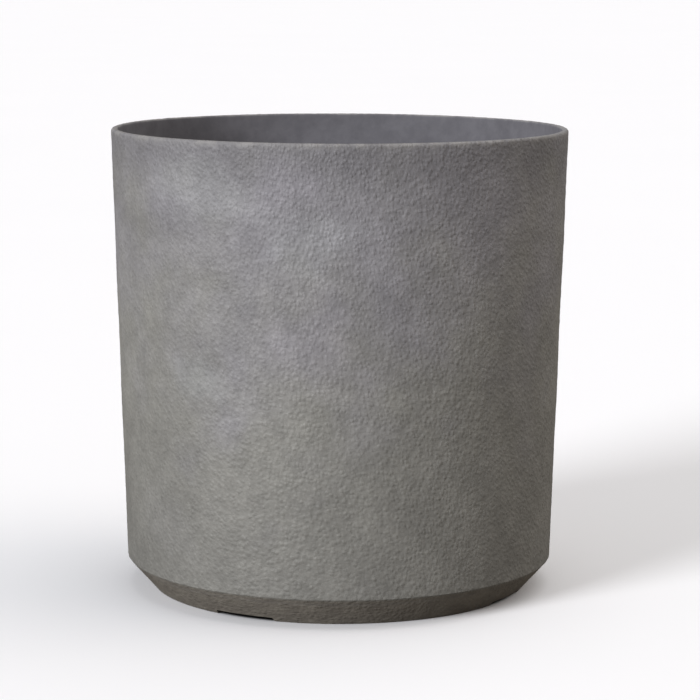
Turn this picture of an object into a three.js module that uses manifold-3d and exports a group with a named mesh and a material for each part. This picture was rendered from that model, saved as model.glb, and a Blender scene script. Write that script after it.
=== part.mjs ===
// Round stone-effect planter: one moulded pot with a bevelled, notched foot, and four rubber drain stoppers.
// Millimetres, +Z up. The origin is the centre of the foot, on the ground. The front is -Y.

import * as THREE from "three";
import { mergeVertices } from "three/addons/utils/BufferGeometryUtils.js";
import Module from "manifold-3d";

const wasm = await Module();
wasm.setup();

// Driving dimensions of the pot
const RIM_RADIUS = 210;
const HEIGHT = 425;
const WALL = 6;
const BEVEL_RADIUS = 198; // outside radius where the straight wall meets the base bevel
const BEVEL_HEIGHT = 27.5;
const FOOT_RADIUS = 173.5;
const FOOT_WIDTH = 15;
const FLOOR_TOP = 28;
const FLOOR_THICKNESS = 8;
const AROUND = 96; // flats around the pot
const PLUG_AROUND = 24;

// Edge and corner roundings of the pot
const RIM_OUTER_ROUND = 2.5;
const RIM_INNER_ROUND = 1.6;
const FLOOR_CORNER_ROUND = 14;
const RECESS_CORNER_ROUND = 3;
const FOOT_OUTER_ROUND = 2;
const FOOT_INNER_ROUND = 1.5;

// Drainage: a notch in the foot ring and a hole in the floor at each of four bearings
const BEARINGS = {
  front_left: 241.4,
  front_right: 331.4,
  back_right: 61.4,
  back_left: 151.4,
};
const NOTCH_WIDTH = 58;
const NOTCH_HEIGHT = 4;
const NOTCH_ROUND = 1.2;
const HOLE_PITCH_RADIUS = 112;
const HOLE_RADIUS = 11;
const SEAT_RADIUS = 19;
const SEAT_DEPTH = 2.4;

// Rubber stopper: a disc on a ribbed hollow stem, with a pull tab
const GAP = 0.3; // running gap between the stopper and the pot
const DISC_RADIUS = 17;
const DISC_THICKNESS = 3.4;
const DISC_ROUND = 1.4;
const RIB_COUNT = 3;
const RIB_DEPTH = 0.8;
const RIB_PITCH = 3.2;
const STEM_REACH = 5; // how far the stem reaches below the floor
const STEM_TIP_RADIUS = 8.4;
const STEM_BORE_RADIUS = 5.6;
const STEM_BORE_DEPTH = 9;
const TAB_WIDTH = 17;
const TAB_HEIGHT = 10;
const TAB_THICKNESS = 4.4;

const CUT_MARGIN = 5; // how far a cutting tool runs past the face that it cuts

const stoneGrey = new THREE.MeshStandardMaterial({ color: "#83807d", roughness: 0.88, metalness: 0 });
const blackRubber = new THREE.MeshStandardMaterial({ color: "#1c1c1d", roughness: 0.7, metalness: 0 });

// Turns a closed mesh into a solid for joining and cutting.
function toSolid(geometry) {
  geometry.deleteAttribute("normal");
  geometry.deleteAttribute("uv");
  const merged = mergeVertices(geometry);
  const corners = merged.index.array;
  const kept = [];
  for (let i = 0; i < corners.length; i += 3) {
    const [a, b, c] = corners.slice(i, i + 3);
    if (a !== b && b !== c && c !== a) {
      kept.push(a, b, c);
    }
  }
  const vertProperties = new Float32Array(merged.attributes.position.array);
  const triVerts = new Uint32Array(kept);
  return new wasm.Manifold(new wasm.Mesh({ numProp: 3, vertProperties, triVerts }));
}

function toGeometry(solid) {
  const mesh = solid.getMesh();
  const geometry = new THREE.BufferGeometry();
  geometry.setAttribute("position", new THREE.BufferAttribute(mesh.vertProperties, 3));
  geometry.setIndex(new THREE.BufferAttribute(mesh.triVerts, 1));
  geometry.computeVertexNormals();
  return geometry;
}

// Outline through corners given as [radius, height, rounding, steps]; a corner with no rounding stays sharp.
function roundedOutline(corners) {
  const points = [];
  corners.forEach(([x, y, rounding = 0, steps = 4], i) => {
    const corner = new THREE.Vector2(x, y);
    if (rounding === 0) {
      points.push(corner);
      return;
    }
    const before = new THREE.Vector2(...corners[i - 1].slice(0, 2)).sub(corner).normalize();
    const after = new THREE.Vector2(...corners[i + 1].slice(0, 2)).sub(corner).normalize();
    const halfAngle = Math.acos(before.dot(after)) / 2;
    const middle = before.clone().add(after).normalize();
    const centre = corner.clone().addScaledVector(middle, rounding / Math.sin(halfAngle));
    const reach = rounding / Math.tan(halfAngle);
    const start = corner.clone().addScaledVector(before, reach).sub(centre);
    const end = corner.clone().addScaledVector(after, reach).sub(centre);
    const turn = Math.atan2(start.cross(end), start.dot(end));
    for (let step = 0; step <= steps; step += 1) {
      points.push(start.clone().rotateAround(new THREE.Vector2(), (turn * step) / steps).add(centre));
    }
  });
  return points;
}

// Solid turned about the Z axis from an outline of radius and height, listed from the bottom outwards and up.
function turned(outline, around) {
  const geometry = new THREE.LatheGeometry(outline, around);
  geometry.rotateX(Math.PI / 2);
  return toSolid(geometry);
}

// Upright cylinder between two heights, used as a cutting tool.
function drill(radius, bottom, top, around) {
  const geometry = new THREE.CylinderGeometry(radius, radius, top - bottom, around);
  geometry.rotateX(Math.PI / 2);
  geometry.translate(0, 0, (bottom + top) / 2);
  return toSolid(geometry);
}

// A plan position at a bearing, in degrees anticlockwise from +X.
function atBearing(bearing, radius, height) {
  const angle = THREE.MathUtils.degToRad(bearing);
  return [radius * Math.cos(angle), radius * Math.sin(angle), height];
}

// The pot before its drainage is cut: lip, straight tapering wall, sharp bevel, foot ring and raised floor.
function pot() {
  const taper = (RIM_RADIUS - BEVEL_RADIUS) / (HEIGHT - BEVEL_HEIGHT);
  const recessTop = FLOOR_TOP - FLOOR_THICKNESS;
  const footInner = FOOT_RADIUS - FOOT_WIDTH;
  const innerFloorRadius = BEVEL_RADIUS - WALL + taper * (FLOOR_TOP - BEVEL_HEIGHT);
  return turned(
    roundedOutline([
      [0, recessTop],
      [footInner, recessTop, RECESS_CORNER_ROUND, 2],
      [footInner, 0, FOOT_INNER_ROUND, 2],
      [FOOT_RADIUS, 0, FOOT_OUTER_ROUND, 2],
      [BEVEL_RADIUS, BEVEL_HEIGHT],
      [RIM_RADIUS, HEIGHT, RIM_OUTER_ROUND, 3],
      [RIM_RADIUS - WALL, HEIGHT, RIM_INNER_ROUND, 2],
      [innerFloorRadius, FLOOR_TOP, FLOOR_CORNER_ROUND, 4],
      [0, FLOOR_TOP],
    ]),
    AROUND
  );
}

// Cutting tool for one drain notch: a low slot with rounded top corners, run radially through the foot ring.
function notchTool(bearing) {
  const half = NOTCH_WIDTH / 2;
  const outline = new THREE.Shape(
    roundedOutline([
      [-half, -CUT_MARGIN],
      [half, -CUT_MARGIN],
      [half, NOTCH_HEIGHT, NOTCH_ROUND, 2],
      [-half, NOTCH_HEIGHT, NOTCH_ROUND, 2],
      [-half, -CUT_MARGIN],
    ])
  );
  const depth = FOOT_WIDTH + 4 * CUT_MARGIN;
  const geometry = new THREE.ExtrudeGeometry(outline, { depth, bevelEnabled: false });
  geometry.rotateX(Math.PI / 2);
  geometry.rotateZ(Math.PI / 2 + THREE.MathUtils.degToRad(bearing));
  geometry.translate(...atBearing(bearing, FOOT_RADIUS - FOOT_WIDTH - 2 * CUT_MARGIN, 0));
  return toSolid(geometry);
}

// The finished pot: four notches, each with a drain hole and a stopper seat on its bearing.
function drainedPot() {
  let solid = pot();
  for (const bearing of Object.values(BEARINGS)) {
    const place = atBearing(bearing, HOLE_PITCH_RADIUS, 0);
    const hole = drill(HOLE_RADIUS, 0, FLOOR_TOP + CUT_MARGIN, PLUG_AROUND).translate(place);
    const seat = drill(SEAT_RADIUS, FLOOR_TOP - SEAT_DEPTH, FLOOR_TOP + CUT_MARGIN, PLUG_AROUND).translate(place);
    solid = solid.subtract(notchTool(bearing)).subtract(hole).subtract(seat);
  }
  return toGeometry(solid);
}

// One stopper, upright on its own axis, with the underside of its disc at height 0.
function stopper() {
  const ribRadius = HOLE_RADIUS - GAP;
  const rootRadius = ribRadius - RIB_DEPTH;
  const stemLength = FLOOR_THICKNESS - SEAT_DEPTH + STEM_REACH;
  const outline = [
    [0, STEM_BORE_DEPTH - stemLength],
    [STEM_BORE_RADIUS, STEM_BORE_DEPTH - stemLength],
    [STEM_BORE_RADIUS, -stemLength],
    [STEM_TIP_RADIUS, -stemLength],
  ];
  for (let rib = RIB_COUNT; rib > 0; rib -= 1) {
    outline.push([rootRadius, -rib * RIB_PITCH + RIB_DEPTH]);
    outline.push([ribRadius, -rib * RIB_PITCH + 2 * RIB_DEPTH]);
    outline.push([rootRadius, -rib * RIB_PITCH + 3 * RIB_DEPTH]);
  }
  outline.push([rootRadius, 0]);
  outline.push([DISC_RADIUS, 0]);
  outline.push([DISC_RADIUS, DISC_THICKNESS, DISC_ROUND, 2]);
  outline.push([0, DISC_THICKNESS]);
  return turned(roundedOutline(outline), PLUG_AROUND).add(pullTab());
}

// Upright tongue with a half-round top, standing across the middle of the disc.
function pullTab() {
  const half = TAB_WIDTH / 2;
  const shape = new THREE.Shape();
  shape.moveTo(-half, 0);
  shape.lineTo(half, 0);
  shape.lineTo(half, TAB_HEIGHT - half);
  shape.absarc(0, TAB_HEIGHT - half, half, 0, Math.PI, false);
  shape.lineTo(-half, 0);
  const options = { depth: TAB_THICKNESS, bevelEnabled: false, curveSegments: 8 };
  const geometry = new THREE.ExtrudeGeometry(shape, options);
  geometry.translate(0, 0, -TAB_THICKNESS / 2);
  geometry.rotateX(Math.PI / 2);
  geometry.translate(0, 0, DISC_THICKNESS - 1);
  return toSolid(geometry);
}

const planter = new THREE.Group();

const shell = new THREE.Mesh(drainedPot(), stoneGrey);
shell.name = "planter_shell";
planter.add(shell);

const stopperGeometry = toGeometry(stopper());
for (const [place, bearing] of Object.entries(BEARINGS)) {
  const plug = new THREE.Mesh(stopperGeometry, blackRubber);
  plug.name = `drain_plug_${place}`;
  plug.position.set(...atBearing(bearing, HOLE_PITCH_RADIUS, FLOOR_TOP - SEAT_DEPTH + GAP));
  plug.rotation.z = THREE.MathUtils.degToRad(bearing + 90);
  planter.add(plug);
}

export default planter;
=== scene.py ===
"""Looks of a round stone-effect planter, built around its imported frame. Metres, +Z up, the front is -Y."""

import math

import bpy
import numpy as np
from mathutils import Matrix, Vector, noise


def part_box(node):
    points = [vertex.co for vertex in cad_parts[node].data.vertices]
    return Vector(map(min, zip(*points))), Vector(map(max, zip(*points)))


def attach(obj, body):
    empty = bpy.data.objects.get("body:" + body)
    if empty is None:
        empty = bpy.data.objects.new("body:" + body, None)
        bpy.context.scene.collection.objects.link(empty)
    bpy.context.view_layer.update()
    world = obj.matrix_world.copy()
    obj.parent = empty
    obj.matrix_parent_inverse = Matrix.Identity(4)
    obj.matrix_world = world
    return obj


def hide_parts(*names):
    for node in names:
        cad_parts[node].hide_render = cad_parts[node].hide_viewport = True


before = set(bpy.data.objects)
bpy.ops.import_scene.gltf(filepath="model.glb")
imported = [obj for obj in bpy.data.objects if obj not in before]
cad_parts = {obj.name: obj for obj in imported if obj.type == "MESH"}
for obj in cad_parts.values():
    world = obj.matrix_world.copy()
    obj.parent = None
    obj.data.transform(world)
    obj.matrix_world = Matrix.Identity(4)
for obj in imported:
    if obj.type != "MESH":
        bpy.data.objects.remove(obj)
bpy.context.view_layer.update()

MM = 0.001

# Pot, as designed
RIM_RADIUS = 210 * MM
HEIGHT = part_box("planter_shell")[1].z
WALL = 6 * MM
BEVEL_RADIUS = 198 * MM
BEVEL_HEIGHT = 27.5 * MM
FOOT_RADIUS = 173.5 * MM
FOOT_WIDTH = 15 * MM
FLOOR_TOP = 28 * MM
FLOOR_THICKNESS = 8 * MM
RECESS_TOP = FLOOR_TOP - FLOOR_THICKNESS
FOOT_INNER = FOOT_RADIUS - FOOT_WIDTH
TAPER = (RIM_RADIUS - BEVEL_RADIUS) / (HEIGHT - BEVEL_HEIGHT)
INNER_FLOOR_RADIUS = BEVEL_RADIUS - WALL + TAPER * (FLOOR_TOP - BEVEL_HEIGHT)

# Edges and corners of the pot, as designed
RIM_OUTER_ROUND = 2.5 * MM
RIM_INNER_ROUND = 1.6 * MM
FLOOR_CORNER_ROUND = 14 * MM
RECESS_CORNER_ROUND = 3 * MM
FOOT_OUTER_ROUND = 2 * MM
FOOT_INNER_ROUND = 1.5 * MM

# Drainage, as designed
BEARINGS = {"front_left": 241.4, "front_right": 331.4, "back_right": 61.4, "back_left": 151.4}
NOTCH_WIDTH = 58 * MM
NOTCH_HEIGHT = 4 * MM
NOTCH_ROUND = 1.2 * MM
HOLE_PITCH_RADIUS = 112 * MM
HOLE_RADIUS = 11 * MM
SEAT_RADIUS = 19 * MM
SEAT_DEPTH = 2.4 * MM
CUT_MARGIN = 5 * MM  # how far a cutting tool runs past the face that it cuts

# Rubber stopper, as designed
GAP = 0.3 * MM
DISC_RADIUS = 17 * MM
DISC_THICKNESS = 3.4 * MM
RIB_COUNT = 3
RIB_DEPTH = 0.8 * MM
RIB_PITCH = 3.2 * MM
STEM_REACH = 5 * MM
STEM_TIP_RADIUS = 8.4 * MM
STEM_BORE_RADIUS = 5.6 * MM
STEM_BORE_DEPTH = 9 * MM
TAB_WIDTH = 17 * MM
TAB_HEIGHT = 10 * MM
TAB_THICKNESS = 4.4 * MM
TAB_SUNK = 1 * MM

# Details that the design leaves plain: the bevel's edge, the mouths of the holes and seats, the dish in each
# stopper's disc, and the grip ridges on its tab
BEVEL_ROUND = 1 * MM
MOUTH_CHAMFER = 0.8 * MM
DISH_DEPTH = 0.9 * MM
DISH_BRIM = 3.2 * MM
DISH_SLOPE = 1.2 * MM
GRIP_COUNT = 3
GRIP_WIDTH = 11 * MM
GRIP_HEIGHT = 0.9 * MM
GRIP_REACH = 0.4 * MM
GRIP_START = 2.6 * MM
GRIP_PITCH = 1.9 * MM

# Fineness of the meshes
COLUMNS = 576
OUTSIDE_STEP = 3.3 * MM
INSIDE_STEP = 30 * MM
ROUND_COLUMNS = 64
TAB_STEPS = 24
HUB_RADIUS = 30 * MM  # innermost ring of the floor and of the underside
LIP_REACH = 5 * MM  # how far the fine rows go down inside the lip
FOOT_REACH = 3 * MM  # how far they go in under the foot
SEAM_BEARING = 90  # where the columns and the texture begin, at the back
POT_SHARP = 38  # edges that turn by more degrees than this stay sharp
STOPPER_SHARP = 42

# Relief of the coat that the mesh itself carries
LUMP_SIZE = 6 * MM
LUMP_HEIGHT = 0.26 * MM
LUMP_FALLOFF = 0.6
LUMP_LACUNARITY = 2.0
LUMP_OCTAVES = 2
SWELL_SIZE = 70 * MM
SWELL_HEIGHT = 0.5 * MM
BEVEL_RELIEF = 0.4  # share of the coat's relief that the bare bevel has

# How far below the top the lip is painted paler, as a painted highlight where light catches the rim
LIP_HIGHLIGHT_OUTSIDE = 7 * MM
LIP_HIGHLIGHT_INSIDE = 1.6 * MM

# Texture places for the pot, in shares of the texture, which is four cells: a cell's side, its empty edge
# and its filled part, then strips as (low, high) and discs as (across, up, radius)
CELL = 0.5
CELL_EDGE = 0.008
CELL_FILL = CELL - 2 * CELL_EDGE
WALL_STRIP = (0.508, 0.668)
FOOT_STRIP = (0.68, 0.70)
NOTCH_STRIP = (0.704, 0.722)
HOLE_STRIP = (0.709, 0.722)
FLOOR_DISC = (0.63, 0.85, 0.12)
UNDERSIDE_DISC = (0.88, 0.85, 0.11)

# Grain of the coat that the material carries. It leans over, because light from the upper left would make it
# look slanted the other way: by so many radians for each metre of height, and less and less towards the left
GRAIN_SIZE = 4.8 * MM
KNOB_SIZE = 3.6 * MM
GRAIN_STRETCH = 1.1
GRAIN_DEPTH = 1.1 * MM
GRAIN_LEAN = 1.2
LEAN_NONE_X = -200 * MM
LEAN_FULL_X = 80 * MM

# Patches of the coat that are plainly paler or darker than the rest, partly its own blotches and partly
# painted light:
# the paler bluish ones on the front are painted sheen, and the dark ones low at the front and under the rim
# are painted shade. Each is bearing, height, half width, half height, and how much of the red, green and
# blue is left in the middle
MARKS_AND_PAINTED_LIGHT = [
    (236, 388 * MM, 55 * MM, 36 * MM, (1.07, 1.09, 1.06)),
    (264, 342 * MM, 50 * MM, 34 * MM, (1.11, 1.13, 1.12)),
    (220, 350 * MM, 90 * MM, 20 * MM, (0.86, 0.86, 0.85)),
    (233, 220 * MM, 36 * MM, 34 * MM, (1.03, 1.05, 1.07)),
    (222, 80 * MM, 45 * MM, 42 * MM, (1.06, 1.06, 1.08)),
    (264, 252 * MM, 60 * MM, 56 * MM, (1.07, 1.06, 1.07)),
    (259, 390 * MM, 46 * MM, 30 * MM, (1.06, 1.05, 1.07)),
    (253, 75 * MM, 85 * MM, 65 * MM, (0.94, 0.94, 0.94)),
    (284, 418 * MM, 110 * MM, 22 * MM, (0.92, 0.92, 0.92)),
]

# Camera
CAMERA_DISTANCE = 2.4216
CAMERA_HEIGHT = 0.5873
CAMERA_DOWN = math.radians(8.68)
CAMERA_RIGHT = math.radians(0.235)
CAMERA_ROLL = math.radians(0.19)
LENS_MM = 135.05
SENSOR_MM = 36
SIGHT = 200  # how far the camera sees, past the floor's edge

# Studio: lights as name, bearing, elevation, softness, strength and colour, and the sky's two brightnesses
LIGHTS = [
    ("key_left", -45, 18, 22, 0.99, (1, 1, 1)),
    ("top_right", 110, 66, 70, 0.34, (1, 0.96, 0.9)),
    ("fill_right", 85, 30, 50, 0.13, (1, 0.83, 0.66)),
]
SKY_LIGHT = 0.39
SKY_SEEN = 0.97
FLOOR_HALF = 60  # half the side of the floor


# Outlines and meshes


def rounded(corners):
    """Points through corners given as (x, y, rounding, steps); a rounding of 0 stays sharp."""
    points = []
    for i, (x, y, rounding, steps) in enumerate(corners):
        corner = Vector((x, y))
        if rounding == 0:
            points.append(corner)
            continue
        before = (Vector(corners[i - 1][:2]) - corner).normalized()
        after = (Vector(corners[i + 1][:2]) - corner).normalized()
        half = before.angle(after) / 2
        centre = corner + (before + after).normalized() * rounding / math.sin(half)
        start = corner + before * rounding / math.tan(half) - centre
        end = corner + after * rounding / math.tan(half) - centre
        turn = -start.angle_signed(end)
        for step in range(steps + 1):
            points.append(centre + Matrix.Rotation(turn * step / steps, 2) @ start)
    return points


def block(half, bottom, top, rounding, steps):
    """Outline of an upright block with rounded top corners, drawn anticlockwise."""
    return rounded([
        (-half, bottom, 0, 0),
        (half, bottom, 0, 0),
        (half, top, rounding, steps),
        (-half, top, rounding, steps),
        (-half, bottom, 0, 0),
    ])[:-1]


def divided(points, longest):
    """The same line with points added so that no step is longer than longest."""
    line = [points[0]]
    for a, b in zip(points, points[1:]):
        steps = max(1, math.ceil((b - a).length / longest - 0.01))
        line += [a.lerp(b, step / steps) for step in range(1, steps + 1)]
    return line


def bridge(a, b):
    """Faces between two rings of vertex numbers: equally long, one twice the other, or one a single tip."""
    if len(a) == 1 or len(b) == 1:
        ring, tip = (b, a[0]) if len(a) == 1 else (a, b[0])
        around = [(ring[i], ring[(i + 1) % len(ring)], tip) for i in range(len(ring))]
        return [face[::-1] for face in around] if len(a) == 1 else around
    faces = []
    small = min(len(a), len(b))
    for i in range(small):
        j = (i + 1) % small
        if len(a) == len(b):
            faces.append((a[i], a[j], b[j], b[i]))
            continue
        fine, coarse = (a, b) if len(a) > len(b) else (b, a)
        f0, f1, f2 = fine[2 * i], fine[2 * i + 1], fine[(2 * i + 2) % len(fine)]
        c0, c1 = coarse[i], coarse[j]
        three = [(f0, f1, c0), (f1, c1, c0), (f1, f2, c1)]
        faces += three if fine is a else [face[::-1] for face in three]
    return faces


def turned(name, rows):
    """Closed body turned about Z. Rows are (radius, height, columns) from the bottom outwards and up."""
    vertices, faces, ring_before = [], [], None
    for radius, height, columns in rows:
        count = 1 if radius < 1e-9 else columns
        ring = list(range(len(vertices), len(vertices) + count))
        for i in range(count):
            angle = math.radians(SEAM_BEARING) + math.tau * i / count
            vertices.append((radius * math.cos(angle), radius * math.sin(angle), height))
        if ring_before:
            faces += bridge(ring_before, ring)
        ring_before = ring
    return new_piece(name, vertices, faces)


def extruded(name, outline, depth):
    """Closed body from an outline of (x, z), drawn anticlockwise seen from -Y, run along +Y."""
    count = len(outline)
    vertices = [(x, y, z) for y in (0, depth) for x, z in outline]
    sides = [(i, (i + 1) % count, (i + 1) % count + count, i + count) for i in range(count)]
    near, far = tuple(range(count)), tuple(reversed(range(count, 2 * count)))
    return new_piece(name, vertices, [near, far] + [side[::-1] for side in sides])


def new_piece(name, vertices, faces):
    mesh = bpy.data.meshes.new(name)
    mesh.from_pydata(vertices, [], faces)
    return new_object(name, mesh)


def new_object(name, data):
    thing = bpy.data.objects.new(name, data)
    bpy.context.scene.collection.objects.link(thing)
    return thing


def at_bearing(bearing, radius, height):
    """A place at a bearing, in degrees anticlockwise from +X."""
    angle = math.radians(bearing)
    return Vector((radius * math.cos(angle), radius * math.sin(angle), height))


def apply_modifiers(piece):
    evaluated = piece.evaluated_get(bpy.context.evaluated_depsgraph_get())
    mesh = bpy.data.meshes.new_from_object(evaluated)
    piece.modifiers.clear()
    piece.data = mesh


def combine(piece, operation, others):
    """Joins the other pieces to the first one or cuts them out of it, and removes them."""
    for other in others:
        modifier = piece.modifiers.new("combine", "BOOLEAN")
        modifier.operation = operation
        modifier.solver = "MANIFOLD"
        modifier.object = other
    apply_modifiers(piece)
    piece.data.materials.clear()
    for other in others:
        bpy.data.objects.remove(other)


def soften(piece, width):
    """Rounds the piece's sharp edges."""
    bevel = piece.modifiers.new("soften", "BEVEL")
    bevel.width = width
    bevel.segments = 3
    bevel.angle_limit = math.radians(50)
    apply_modifiers(piece)
    return piece


def smooth_except_sharp(piece, sharp_angle):
    mesh = piece.data
    mesh.shade_smooth()
    mesh.set_sharp_from_angle(angle=math.radians(sharp_angle))


def read(collection, attribute, width, kind=np.float64):
    values = np.empty(len(collection) * width, kind)
    collection.foreach_get(attribute, values)
    return values.reshape(-1, width) if width > 1 else values


def store(mesh, name, values):
    """One number per vertex, for the materials."""
    layer = mesh.attributes.new(name, "FLOAT", "POINT")
    layer.data.foreach_set("value", np.clip(values, 0, 1).astype(np.float32))


def ease(values, start, end):
    """0 before start and 1 after end, with a soft step between; start may be the larger."""
    t = np.clip((values - start) / (end - start), 0, 1)
    return t * t * (3 - 2 * t)


# The pot


def pot_rows():
    """The pot's outline from the middle of the underside, out over the foot, up, over the lip and down."""
    foot_line = (FOOT_RADIUS - FOOT_REACH, 0, 0, 0)
    lip_line = (RIM_RADIUS - WALL - TAPER * LIP_REACH, HEIGHT - LIP_REACH, 0, 0)
    under = rounded([
        (HUB_RADIUS, RECESS_TOP, 0, 0),
        (FOOT_INNER, RECESS_TOP, RECESS_CORNER_ROUND, 4),
        (FOOT_INNER, 0, FOOT_INNER_ROUND, 3),
        foot_line,
    ])
    outside = rounded([
        foot_line,
        (FOOT_RADIUS, 0, FOOT_OUTER_ROUND, 4),
        (BEVEL_RADIUS, BEVEL_HEIGHT, BEVEL_ROUND, 3),
        (RIM_RADIUS, HEIGHT, RIM_OUTER_ROUND, 5),
        (RIM_RADIUS - WALL, HEIGHT, RIM_INNER_ROUND, 4),
        lip_line,
    ])
    inside = rounded([
        lip_line,
        (INNER_FLOOR_RADIUS, FLOOR_TOP, FLOOR_CORNER_ROUND, 8),
        (HUB_RADIUS, FLOOR_TOP, 0, 0),
    ])
    rows = [(0, RECESS_TOP, 1)]
    rows += [(*p, inner_columns(p.x)) for p in divided(under, INSIDE_STEP)]
    rows += [(*p, COLUMNS) for p in divided(outside, OUTSIDE_STEP)[1:-1]]
    rows += [(*p, inner_columns(p.x)) for p in divided(inside, INSIDE_STEP)]
    rows.append((0, FLOOR_TOP, 1))
    return rows


def inner_columns(radius):
    """Half the columns of the outside, and fewer still on the floor's inner rings, to avoid slivers."""
    share = 2 if radius > 150 * MM else 4 if radius > 80 * MM else 8
    return COLUMNS // share


def notch_cutter(bearing):
    outline = block(NOTCH_WIDTH / 2, -CUT_MARGIN, NOTCH_HEIGHT, NOTCH_ROUND, 4)
    cutter = extruded("notch", outline, FOOT_WIDTH + 4 * CUT_MARGIN)
    start = at_bearing(bearing, FOOT_INNER - 2 * CUT_MARGIN, 0)
    cutter.data.transform(Matrix.Translation(start) @ Matrix.Rotation(math.radians(bearing - 90), 4, "Z"))
    return cutter


def hole_cutter(bearing):
    """The drain hole and the stopper's seat above it, each with a small chamfer at its mouth."""
    seat = FLOOR_TOP - SEAT_DEPTH
    outline = [
        (0, RECESS_TOP - CUT_MARGIN),
        (HOLE_RADIUS + MOUTH_CHAMFER + CUT_MARGIN, RECESS_TOP - CUT_MARGIN),
        (HOLE_RADIUS, RECESS_TOP + MOUTH_CHAMFER),
        (HOLE_RADIUS, seat),
        (SEAT_RADIUS, seat),
        (SEAT_RADIUS, FLOOR_TOP - MOUTH_CHAMFER),
        (SEAT_RADIUS + MOUTH_CHAMFER + CUT_MARGIN, FLOOR_TOP + CUT_MARGIN),
        (0, FLOOR_TOP + CUT_MARGIN),
    ]
    cutter = turned("hole", [(radius, height, ROUND_COLUMNS) for radius, height in outline])
    cutter.data.transform(Matrix.Translation(at_bearing(bearing, HOLE_PITCH_RADIUS, 0)))
    return cutter


def outer_radius(height):
    """The outside of the straight wall at a height, without its relief."""
    return BEVEL_RADIUS + TAPER * (height - BEVEL_HEIGHT)


def mark_zones(piece):
    """Stores where the coat, the bare base, the inside and the lip's painted highlight are, for the
    materials.

    Returns how far each vertex belongs to the coat and to the bevel, for the relief."""
    mesh = piece.data
    x, y, z = read(mesh.vertices, "co", 3).T
    radius = np.hypot(x, y)
    depth = outer_radius(z) - radius
    above = ease(z, BEVEL_HEIGHT - 1.0 * MM, BEVEL_HEIGHT)
    coat = above * ease(depth, WALL * 0.75, WALL * 0.25)
    inside = ease(z, RECESS_TOP, FLOOR_TOP - SEAT_DEPTH) * ease(depth, WALL * 0.6, WALL * 0.95)
    base = (1 - above) * (1 - inside)
    reach = LIP_HIGHLIGHT_INSIDE + (LIP_HIGHLIGHT_OUTSIDE - LIP_HIGHLIGHT_INSIDE) * coat
    lip = ease(z, HEIGHT - reach, HEIGHT - 0.4 * MM)
    store(mesh, "coat", coat)
    store(mesh, "inside", inside)
    store(mesh, "base", base)
    store(mesh, "lip", lip)
    return coat, base * ease(radius, FOOT_RADIUS - 4 * MM, FOOT_RADIUS)


def add_relief(piece, coat, bevel):
    """Moves the outside in and out along its normals: small lumps of coat on a slow, uneven swell."""
    mesh = piece.data
    normals = read(mesh.vertex_normals, "vector", 3)
    places = read(mesh.vertices, "co", 3)
    strength = coat + BEVEL_RELIEF * bevel
    moves = np.zeros(len(places))
    for i in np.nonzero(strength > 0.01)[0]:
        place = Vector(places[i])
        lump = noise.fractal(place / LUMP_SIZE, LUMP_FALLOFF, LUMP_LACUNARITY, LUMP_OCTAVES)
        swell = noise.noise(place / SWELL_SIZE)
        moves[i] = strength[i] * (LUMP_HEIGHT * lump + SWELL_HEIGHT * swell)
    mesh.vertices.foreach_set("co", (places + normals * moves[:, None]).ravel())
    mesh.update()


def turns(px, py, qx, qy, start):
    """How far round each point p is, in turns, kept on the same side of the seam as its face's middle q."""
    centre = (np.arctan2(qy, qx) / math.tau - start) % 1
    return centre + (np.arctan2(py, px) / math.tau - start - centre + 0.5) % 1 - 0.5


def strip(along, across, band):
    """Texture places on a strip that runs along the right half of the texture."""
    low, high = band
    return CELL + CELL_EDGE + CELL_FILL * along, low + (high - low) * across


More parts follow.
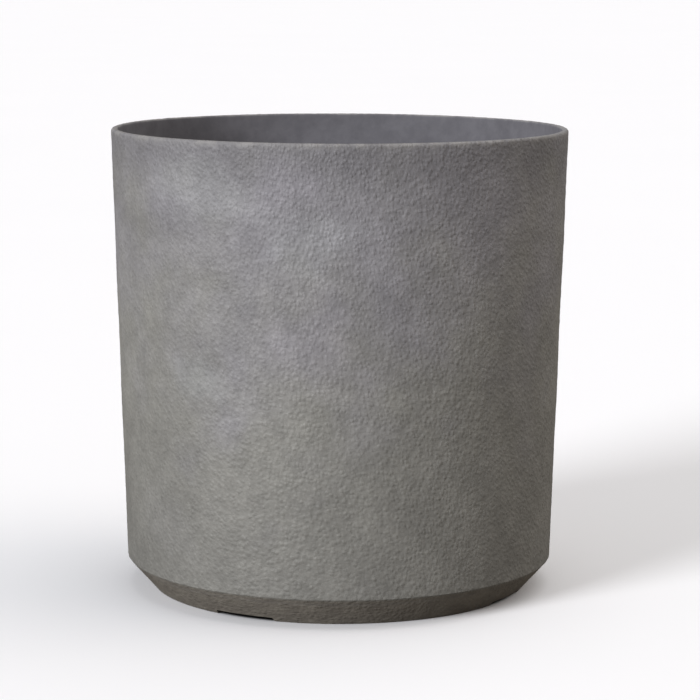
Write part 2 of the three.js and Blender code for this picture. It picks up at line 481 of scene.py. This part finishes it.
def lay_out(piece):
    """Texture places: three cells for the pot's outside, and strips and discs in a fourth for the rest."""
    mesh = piece.data
    corners = read(mesh.loops, "vertex_index", 1, np.int32)
    owners = np.repeat(np.arange(len(mesh.polygons)), read(mesh.polygons, "loop_total", 1, np.int32))
    x, y, z = read(mesh.vertices, "co", 3)[corners].T
    cx, cy, cz = read(mesh.polygons, "center", 3)[owners].T
    nx, ny, nz = read(mesh.polygons, "normal", 3)[owners].T
    radius, middle = np.hypot(x, y), np.hypot(cx, cy)

    around = turns(x, y, cx, cy, SEAM_BEARING / 360)
    slant = math.hypot(BEVEL_RADIUS - FOOT_RADIUS, BEVEL_HEIGHT) / BEVEL_HEIGHT
    lip = np.where(z > HEIGHT - 3 * MM, np.clip(outer_radius(z) - radius, 0, WALL / 2), 0)
    climb = slant * np.minimum(z, BEVEL_HEIGHT) + np.maximum(z - BEVEL_HEIGHT, 0) + lip
    tallest = slant * BEVEL_HEIGHT + HEIGHT - BEVEL_HEIGHT + WALL / 2
    third = np.floor(3 * turns(cx, cy, cx, cy, SEAM_BEARING / 360))
    u = CELL_EDGE + CELL * (third % 2) + CELL_FILL * (3 * around - third)
    v = CELL_EDGE + CELL * (third // 2) + CELL_FILL * climb / tallest

    def put(where, place):
        u[where], v[where] = place[0][where], place[1][where]

    def disc(circle, real_radius):
        across, up, size = circle
        return across + x * size / real_radius, up + y * size / real_radius

    inside = (cz > FLOOR_TOP - 0.1 * MM) & (outer_radius(cz) - middle > WALL / 2)
    put(inside, strip(around, (HEIGHT - z) / (HEIGHT - FLOOR_TOP), WALL_STRIP))
    put(inside & (nz > 0.9) & (cz < HEIGHT / 2), disc(FLOOR_DISC, INNER_FLOOR_RADIUS))
    foot = (cz < RECESS_TOP) & (middle < FOOT_RADIUS - 2.5 * MM)
    put(foot, strip(around, (FOOT_RADIUS - radius + z) / (FOOT_WIDTH + RECESS_TOP), FOOT_STRIP))
    notch_side = foot & (np.abs(cx * ny - cy * nx) > 0.7 * middle)
    put(notch_side, strip(around + 1.2 * (radius - FOOT_INNER), z / RECESS_TOP, NOTCH_STRIP))
    put((nz < -0.9) & (middle < FOOT_INNER) & (cz < FLOOR_TOP), disc(UNDERSIDE_DISC, FOOT_INNER))

    for i, bearing in enumerate(BEARINGS.values()):
        hole = at_bearing(bearing, HOLE_PITCH_RADIUS, 0)
        near = np.hypot(cx - hole.x, cy - hole.y) < SEAT_RADIUS + 0.7 * MM
        wall = near & (cz < FLOOR_TOP - 0.01 * MM) & (cz > RECESS_TOP + 0.01 * MM)
        circle = turns(x - hole.x, y - hole.y, cx - hole.x, cy - hole.y, 0)
        reach = np.hypot(x - hole.x, y - hole.y) - HOLE_RADIUS + z - RECESS_TOP
        share = reach / (SEAT_RADIUS - HOLE_RADIUS + FLOOR_THICKNESS)
        put(wall, strip((i + 0.02 + 0.96 * circle) / len(BEARINGS), share, HOLE_STRIP))

    layer = mesh.uv_layers.new(name="OFBake")
    layer.data.foreach_set("uv", np.stack([u, v], 1).astype(np.float32).ravel())


def make_pot():
    pot = turned("stone_pot", pot_rows())
    cutters = [notch_cutter(bearing) for bearing in BEARINGS.values()]
    cutters += [hole_cutter(bearing) for bearing in BEARINGS.values()]
    combine(pot, "DIFFERENCE", cutters)
    lay_out(pot)
    add_relief(pot, *mark_zones(pot))
    smooth_except_sharp(pot, POT_SHARP)
    return pot


# The stoppers


def stopper_outline():
    """Hollow ribbed stem and dished disc; the underside of the disc is at height 0."""
    rib_radius = HOLE_RADIUS - GAP
    root_radius = rib_radius - RIB_DEPTH
    stem = FLOOR_THICKNESS - SEAT_DEPTH + STEM_REACH
    corners = [
        (0, STEM_BORE_DEPTH - stem, 0, 0),
        (STEM_BORE_RADIUS, STEM_BORE_DEPTH - stem, 1 * MM, 4),
        (STEM_BORE_RADIUS, -stem, 0.5 * MM, 3),
        (STEM_TIP_RADIUS, -stem, 0.6 * MM, 3),
    ]
    for rib in range(RIB_COUNT, 0, -1):
        corners.append((root_radius, -rib * RIB_PITCH + RIB_DEPTH, 0.15 * MM, 2))
        corners.append((rib_radius, -rib * RIB_PITCH + 2 * RIB_DEPTH, 0.25 * MM, 3))
        corners.append((root_radius, -rib * RIB_PITCH + 3 * RIB_DEPTH, 0.15 * MM, 2))
    dish = DISC_THICKNESS - DISH_DEPTH
    corners += [
        (root_radius, 0, 0.3 * MM, 2),
        (DISC_RADIUS, 0, 0.5 * MM, 3),
        (DISC_RADIUS, DISC_THICKNESS, 1.2 * MM, 5),
        (DISC_RADIUS - DISH_BRIM, DISC_THICKNESS, 0.5 * MM, 3),
        (DISC_RADIUS - DISH_BRIM - DISH_SLOPE, dish, 0.8 * MM, 3),
        (0, dish, 0, 0),
    ]
    return rounded(corners)


def pull_tab():
    """Upright tongue with a half-round top and softened edges, centred on Y = 0 and standing on Z = 0."""
    half = TAB_WIDTH / 2
    thickness = TAB_THICKNESS - 2 * GRIP_REACH
    angles = [math.pi * step / TAB_STEPS for step in range(TAB_STEPS + 1)]
    outline = [(half * math.cos(a), TAB_HEIGHT - half + half * math.sin(a)) for a in angles]
    tab = extruded("tab", [(-half, 0), (half, 0), *outline], thickness)
    tab.data.transform(Matrix.Translation((0, -thickness / 2, 0)))
    return soften(tab, 0.7 * MM)


def grip_ridge(height):
    """Ridge that stands a little out of both faces of the tab, with its underside at a height."""
    outline = block(GRIP_WIDTH / 2, 0, GRIP_HEIGHT, 0.4 * MM, 3)
    ridge = extruded("grip", outline, TAB_THICKNESS)
    ridge.data.transform(Matrix.Translation((0, -TAB_THICKNESS / 2, height)))
    return soften(ridge, 0.3 * MM)


def make_stopper_mesh():
    stopper = turned("stopper", [(*p, ROUND_COLUMNS) for p in stopper_outline()])
    grips = [grip_ridge(GRIP_START + GRIP_PITCH * row) for row in range(GRIP_COUNT)]
    handle = [pull_tab(), *grips]
    for part in handle:
        part.data.transform(Matrix.Translation((0, 0, DISC_THICKNESS - TAB_SUNK)))
    combine(stopper, "UNION", handle)
    smooth_except_sharp(stopper, STOPPER_SHARP)
    mesh = stopper.data
    bpy.data.objects.remove(stopper)
    return mesh


# Node helpers


def linear(red, green, blue):
    """A colour written in screen values of 0 to 255, as the linear numbers that a shader takes."""
    parts = [c / 255 for c in (red, green, blue)]
    return [p / 12.92 if p <= 0.04045 else ((p + 0.055) / 1.055) ** 2.4 for p in parts] + [1.0]


def feed(tree, socket, value):
    """Links another node's output to the socket, or sets the socket to a value; None leaves it alone."""
    if isinstance(value, bpy.types.NodeSocket):
        tree.links.new(value, socket)
    elif value is not None:
        socket.default_value = value


def maths(tree, operation, a, b=None):
    node = tree.nodes.new("ShaderNodeMath")
    node.operation = operation
    feed(tree, node.inputs[0], a)
    feed(tree, node.inputs[1], b)
    return node.outputs[0]


def spread(tree, value, low, high, to_low=0.0, to_high=1.0):
    """Maps low..high of a value smoothly to another range, and holds it there beyond."""
    node = tree.nodes.new("ShaderNodeMapRange")
    node.interpolation_type = "SMOOTHSTEP"
    for socket, number in zip(node.inputs[:5], (value, low, high, to_low, to_high)):
        feed(tree, socket, number)
    return node.outputs[0]


def blend(tree, amount, a, b, mode="MIX"):
    node = tree.nodes.new("ShaderNodeMix")
    node.data_type = "RGBA"
    node.blend_type = mode
    feed(tree, node.inputs["Factor"], amount)
    feed(tree, node.inputs[6], a)
    feed(tree, node.inputs[7], b)
    return node.outputs[2]


def object_place(tree):
    """Places in the piece's own space, in metres."""
    return tree.nodes.new("ShaderNodeTexCoord").outputs["Object"]


def pattern_place(tree, shift=0.0, stretch=1.0, lean=None):
    """Places in the piece's own space, in metres, with patterns on them moved or drawn out along Z.

    A lean is the angle by which each place is first turned about Z."""
    place = object_place(tree)
    if lean is not None:
        rotate = tree.nodes.new("ShaderNodeVectorRotate")
        rotate.rotation_type = "Z_AXIS"
        feed(tree, rotate.inputs["Vector"], place)
        feed(tree, rotate.inputs["Angle"], lean)
        place = rotate.outputs["Vector"]
    mapping = tree.nodes.new("ShaderNodeMapping")
    feed(tree, mapping.inputs["Vector"], place)
    feed(tree, mapping.inputs["Location"], (0, 0, shift))
    feed(tree, mapping.inputs["Scale"], (1, 1, 1 / stretch))
    return mapping.outputs["Vector"]


def clouds(tree, size, detail=2.0, roughness=0.5, shift=0.0, stretch=1.0, lean=None):
    """Noise from 0 to 1 with features of about this size in metres.

    A shift in metres picks another part of the same endless pattern."""
    node = tree.nodes.new("ShaderNodeTexNoise")
    feed(tree, node.inputs["Vector"], pattern_place(tree, shift, stretch, lean))
    feed(tree, node.inputs["Scale"], 1 / size)
    feed(tree, node.inputs["Detail"], detail)
    feed(tree, node.inputs["Roughness"], roughness)
    return node.outputs["Fac"]


def nodules(tree, size, stretch=1.0, lean=None):
    """Rounded knobs of about this size in metres, 1 at their tops, jostled so that they form no grid."""
    node = tree.nodes.new("ShaderNodeTexVoronoi")
    node.feature = "SMOOTH_F1"
    feed(tree, node.inputs["Vector"], pattern_place(tree, stretch=stretch, lean=lean))
    feed(tree, node.inputs["Scale"], 1 / size)
    feed(tree, node.inputs["Smoothness"], 0.35)
    return spread(tree, node.outputs["Distance"], 0.7, 0.0)


def distance_from(tree, centre, half_width, half_height):
    """Distance from a place, which is 1 on the oval with these half sizes round it."""
    mapping = tree.nodes.new("ShaderNodeMapping")
    mapping.vector_type = "TEXTURE"
    feed(tree, mapping.inputs["Vector"], object_place(tree))
    feed(tree, mapping.inputs["Location"], centre)
    feed(tree, mapping.inputs["Scale"], (half_width, half_width, half_height))
    length = tree.nodes.new("ShaderNodeVectorMath")
    length.operation = "LENGTH"
    feed(tree, length.inputs[0], mapping.outputs["Vector"])
    return length.outputs["Value"]


def attribute(tree, name):
    node = tree.nodes.new("ShaderNodeAttribute")
    node.attribute_name = name
    return node.outputs["Fac"]


def across_and_up(tree):
    """The piece's own X and Z, in metres."""
    node = tree.nodes.new("ShaderNodeSeparateXYZ")
    feed(tree, node.inputs[0], object_place(tree))
    return node.outputs["X"], node.outputs["Z"]


def bump(tree, height, distance):
    node = tree.nodes.new("ShaderNodeBump")
    feed(tree, node.inputs["Strength"], 1.0)
    feed(tree, node.inputs["Distance"], distance)
    feed(tree, node.inputs["Height"], height)
    return node.outputs["Normal"]


def new_material(name, **constants):
    """A material, its nodes and its Principled shader, with the values that are the same all over set."""
    material = bpy.data.materials.new(name)
    material.use_nodes = True
    shader = material.node_tree.nodes["Principled BSDF"]
    for socket, value in constants.items():
        shader.inputs[socket.replace("_", " ")].default_value = value
    return material, material.node_tree, shader


# Materials

# Coat tones: the cool one, used high up and in the middle, is a painted sheen of cool light; the warm one,
# used low down and at the sides, is painted warm bounce light
COAT_COOL_PAINTED_SHEEN = linear(129.5, 128, 133)
COAT_WARM_PAINTED_BOUNCE = linear(129, 128, 124.5)
BASE_SHADED_DARK = linear(111, 106, 100)
BASE_SHADED_LIGHT = linear(123, 118, 111)
INSIDE_DARK = linear(95, 94, 100)
INSIDE_LIGHT = linear(104, 103, 109)
LIP_PAINTED_HIGHLIGHT = linear(139, 137, 137)
RUBBER_CLEAN = linear(28, 28, 29)
RUBBER_DUSTY = linear(58, 57, 56)
FLOOR_TONES = (linear(247, 248, 253), linear(249, 250, 255))
FLOOR_PAINTED_SHADOW = linear(30, 29, 28)
FLOOR_THROWS_BACK = linear(120, 115, 108)
WHITE = (1, 1, 1, 1)


def mark_level(tree, uneven, bearing, height, half_width, half_height, left):
    """What a mark leaves of each colour: all beyond its ragged edge, and its own share in the middle."""
    centre = at_bearing(bearing, outer_radius(height), height)
    away = distance_from(tree, centre, half_width, half_height)
    mark = spread(tree, maths(tree, "ADD", away, uneven), 1.15, 0.25)
    return blend(tree, mark, WHITE, (*left, 1))


def coat_colour(tree, x, z, grain, mottle):
    """Cooler high up and in the middle, warmer low down and at the sides: painted sheen of cool light and
    painted warm bounce light, broken up by random hues. Darker low down as painted shade, and just under the
    rim, with patches of many sizes.
    """
    patches = clouds(tree, 100 * MM, detail=1.0, shift=26.5)
    blots = clouds(tree, 40 * MM, detail=2.0, shift=85.5)
    hues = clouds(tree, 70 * MM, detail=2.0, shift=25.5)
    # Painted light: the cool sheen grows with height and towards the middle, with random hues mixed in
    cool_sheen_and_hue = maths(tree, "ADD", z, maths(tree, "MULTIPLY", hues, 0.5))
    cool_sheen_and_hue = maths(tree, "SUBTRACT", cool_sheen_and_hue, maths(tree, "MULTIPLY", maths(tree, "ABSOLUTE", x), 0.45))
    uneven = spread(tree, blots, 0.3, 0.7, -0.3, 0.3)
    levels = [
        spread(tree, patches, 0.3, 0.7, 0.95, 1.05),
        spread(tree, blots, 0.3, 0.7, 1.07, 0.93),
        spread(tree, mottle, 0.3, 0.7, 0.93, 1.07),
        spread(tree, grain, 0.2, 0.8, 0.88, 1.12),
        # Painted shade: darker towards the bottom
        spread(tree, z, 20 * MM, 260 * MM, 0.84, 1.0),
        # Darker just under the rim: partly a stain, partly painted shade
        spread(tree, z, HEIGHT - 12 * MM, HEIGHT - 50 * MM, 0.86, 1.0),
    ]
    # Marks: partly the coat's own blotches, partly painted sheen and painted shade
    levels += [mark_level(tree, uneven, *mark) for mark in MARKS_AND_PAINTED_LIGHT]
    tone = blend(tree, spread(tree, cool_sheen_and_hue, 0.66, 0.31), COAT_COOL_PAINTED_SHEEN, COAT_WARM_PAINTED_BOUNCE)
    for level in levels:
        tone = blend(tree, 1.0, tone, level, "MULTIPLY")
    return tone


def inside_colour(tree, mottle):
    """Mottled, and hazier in large soft patches, which also stand as painted light and shade: they lighten
    and darken the inside where the light falls.
    """
    haze_and_painted_light = clouds(tree, 100 * MM, detail=1.0, shift=12.5)
    smooth = blend(tree, spread(tree, mottle, 0.3, 0.7), INSIDE_DARK, INSIDE_LIGHT)
    return blend(tree, 1.0, smooth, spread(tree, haze_and_painted_light, 0.3, 0.7, 0.91, 1.11), "MULTIPLY")


def stone_effect():
    """Sprayed stone-effect coat outside, smooth and cooler inside; barer on the base, and darker and browner
    there, partly its own finish and partly painted shade and painted warm bounce light.
    """
    material, tree, shader = new_material("stone_effect_coat", Specular_IOR_Level=0.45)
    coat, inside, base, lip = (attribute(tree, zone) for zone in ("coat", "inside", "base", "lip"))
    x, z = across_and_up(tree)
    lean = spread(tree, x, LEAN_NONE_X, LEAN_FULL_X, 0.0, GRAIN_LEAN)
    lean = maths(tree, "MULTIPLY", lean, maths(tree, "SUBTRACT", z, HEIGHT / 2))
    grain = clouds(tree, GRAIN_SIZE, detail=4.0, roughness=0.68, stretch=GRAIN_STRETCH, lean=lean)
    knobs = nodules(tree, KNOB_SIZE, stretch=GRAIN_STRETCH, lean=lean)
    mottle = clouds(tree, 15 * MM, detail=3.0, roughness=0.6)

    # The bare base: darker and browner than the coat, partly its own finish, partly painted shade and
    # painted warm bounce light
    bare = blend(tree, spread(tree, mottle, 0.35, 0.65), BASE_SHADED_DARK, BASE_SHADED_LIGHT)
    colour = blend(tree, base, coat_colour(tree, x, z, grain, mottle), bare)
    colour = blend(tree, inside, colour, inside_colour(tree, mottle))
    # Painted highlight: the lip paler, broken up by the mottle
    lip_highlight = maths(tree, "MULTIPLY", lip, spread(tree, mottle, 0.35, 0.65, 0.1, 0.8))
    feed(tree, shader.inputs["Base Color"], blend(tree, lip_highlight, colour, LIP_PAINTED_HIGHLIGHT))

    rough = spread(tree, grain, 0.3, 0.75, 0.66, 0.5)
    rough = maths(tree, "ADD", rough, maths(tree, "MULTIPLY", inside, 0.3))
    feed(tree, shader.inputs["Roughness"], rough)

    strength = maths(tree, "MULTIPLY", coat, spread(tree, z, HEIGHT / 2, HEIGHT, 0.97, 1.15))
    strength = maths(tree, "ADD", strength, maths(tree, "MULTIPLY", base, 0.8))
    strength = maths(tree, "ADD", strength, maths(tree, "MULTIPLY", inside, 0.12))
    relief = maths(tree, "ADD", grain, maths(tree, "MULTIPLY", knobs, 0.4))
    relief = maths(tree, "MULTIPLY", relief, strength)
    feed(tree, shader.inputs["Normal"], bump(tree, relief, GRAIN_DEPTH))
    return material


def rubber():
    """Matt black moulded rubber with a little bloom and dust."""
    material, tree, shader = new_material("drain_plug_black_rubber", Specular_IOR_Level=0.4)
    mottle = clouds(tree, 7 * MM, detail=3.0, roughness=0.6)
    fine = clouds(tree, 0.5 * MM, detail=1.0)
    dust = spread(tree, mottle, 0.35, 0.75, 0.0, 0.6)
    feed(tree, shader.inputs["Base Color"], blend(tree, dust, RUBBER_CLEAN, RUBBER_DUSTY))
    feed(tree, shader.inputs["Roughness"], spread(tree, mottle, 0.3, 0.7, 0.55, 0.75))
    feed(tree, shader.inputs["Normal"], bump(tree, fine, 0.15 * MM))
    return material


# Camera, floor and light


def add_camera():
    camera = new_object("camera", bpy.data.cameras.new("camera"))
    camera.data.lens = LENS_MM
    camera.data.sensor_width = SENSOR_MM
    camera.data.clip_end = SIGHT
    turn = Matrix.Rotation(-CAMERA_RIGHT, 4, "Z") @ Matrix.Rotation(math.pi / 2 - CAMERA_DOWN, 4, "X")
    place = Matrix.Translation((0, -CAMERA_DISTANCE, CAMERA_HEIGHT))
    camera.matrix_world = place @ turn @ Matrix.Rotation(CAMERA_ROLL, 4, "Z")
    bpy.context.scene.camera = camera


def seen_directly(tree):
    """1 where the camera sees a surface itself, and 0 where that surface only throws light on others."""
    return tree.nodes.new("ShaderNodeLightPath").outputs["Is Camera Ray"]


def add_floor():
    """A pale floor, with a painted shadow right under the pot.

    It throws back less light than its look would, as if the studio were darker low down."""
    corners = [(x * FLOOR_HALF, y * FLOOR_HALF, 0) for x, y in ((-1, -1), (1, -1), (1, 1), (-1, 1))]
    floor = new_piece("floor", corners, [(0, 1, 2, 3)])
    material, tree, shader = new_material("pale_floor", Roughness=0.9, Specular_IOR_Level=0.1)
    tone = blend(tree, clouds(tree, 0.8, detail=2.0), *FLOOR_TONES)
    # Painted shadow: dark inside the foot's circle
    under = spread(tree, distance_from(tree, (0, 0, 0), FOOT_RADIUS, 1), 1.01, 0.97)
    tone = blend(tree, under, tone, FLOOR_PAINTED_SHADOW)
    tone = blend(tree, seen_directly(tree), FLOOR_THROWS_BACK, tone)
    feed(tree, shader.inputs["Base Color"], tone)
    floor.data.materials.append(material)


def add_sun(name, bearing, elevation, softness, strength, colour):
    """Even light from a bearing, in degrees to the right of the front; softness is its width in degrees."""
    sun = new_object(name, bpy.data.lights.new(name, "SUN"))
    sun.data.energy = strength * math.pi
    sun.data.color = colour
    sun.data.angle = math.radians(softness)
    away = at_bearing(bearing - 90, math.cos(math.radians(elevation)), math.sin(math.radians(elevation)))
    sun.rotation_euler = away.to_track_quat("Z", "Y").to_euler()


def add_world():
    """A dim sky for light, which looks pale to the camera."""
    world = bpy.data.worlds.new("studio")
    world.use_nodes = True
    tree = world.node_tree
    background = tree.nodes["Background"]
    brightness = spread(tree, seen_directly(tree), 0.0, 1.0, SKY_LIGHT, SKY_SEEN)
    feed(tree, background.inputs["Strength"], brightness)
    feed(tree, background.inputs["Color"], WHITE)
    bpy.context.scene.world = world


add_camera()
for light in LIGHTS:
    add_sun(*light)
add_world()
bpy.context.scene.view_settings.view_transform = "Standard"
add_floor()

pot = make_pot()
pot.data.materials.append(stone_effect())
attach(pot, "pot")
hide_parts("planter_shell")

stopper_mesh = make_stopper_mesh()
stopper_mesh.materials.append(rubber())
for place, bearing in BEARINGS.items():
    stopper = new_object(f"stopper_{place}", stopper_mesh)
    stopper.location = at_bearing(bearing, HOLE_PITCH_RADIUS, FLOOR_TOP - SEAT_DEPTH + GAP)
    stopper.rotation_euler.z = math.radians(bearing + 90)
    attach(stopper, f"plug_{place}")
    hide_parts(f"drain_plug_{place}")
